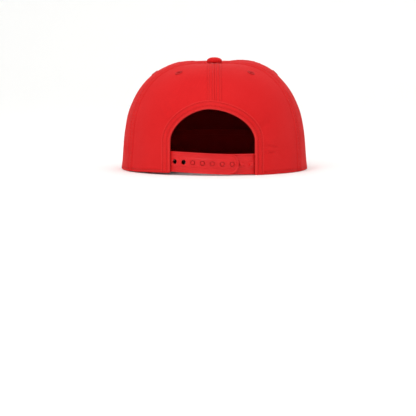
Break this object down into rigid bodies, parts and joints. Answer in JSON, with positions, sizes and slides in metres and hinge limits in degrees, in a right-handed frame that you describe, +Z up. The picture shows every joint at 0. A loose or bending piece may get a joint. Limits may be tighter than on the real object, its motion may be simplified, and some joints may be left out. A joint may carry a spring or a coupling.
{
  "type": "surf cap with a flat-rimmed crown, a stiff brim and a snap strap",
  "caption": "Red twill surf cap: five-panel crown with button and eyelets, stiff curved brim, and a plastic snap strap across the open arch at the back.",
  "frame": {"origin": "middle of the cap's footprint, on the surface that it rests on", "axes": "+Z up, -Y towards the brim's front edge, +Y towards the snap strap, +X towards the wearer's left"},
  "size_m": [0.1734, 0.276, 0.1033],
  "materials": {
    "crown_twill": "matte cotton twill",
    "eyelet_thread": "satin polyester thread",
    "sweatband_twill": "matte cotton twill",
    "strap_plastic": "satin moulded polyethylene"
  },
  "bodies": {
    "root": {"panel_front": "crown_twill", "panel_side_left": "crown_twill", "panel_side_right": "crown_twill", "panel_back_left": "crown_twill", "panel_back_right": "crown_twill", "button": "crown_twill", "brim": "crown_twill", "eyelet_back_left": "eyelet_thread", "eyelet_back_right": "eyelet_thread", "eyelet_side_left": "eyelet_thread", "eyelet_side_right": "eyelet_thread", "sweatband": "sweatband_twill", "strap_with_holes": "strap_plastic", "strap_with_pegs": "strap_plastic"}
  },
  "joints": []
}
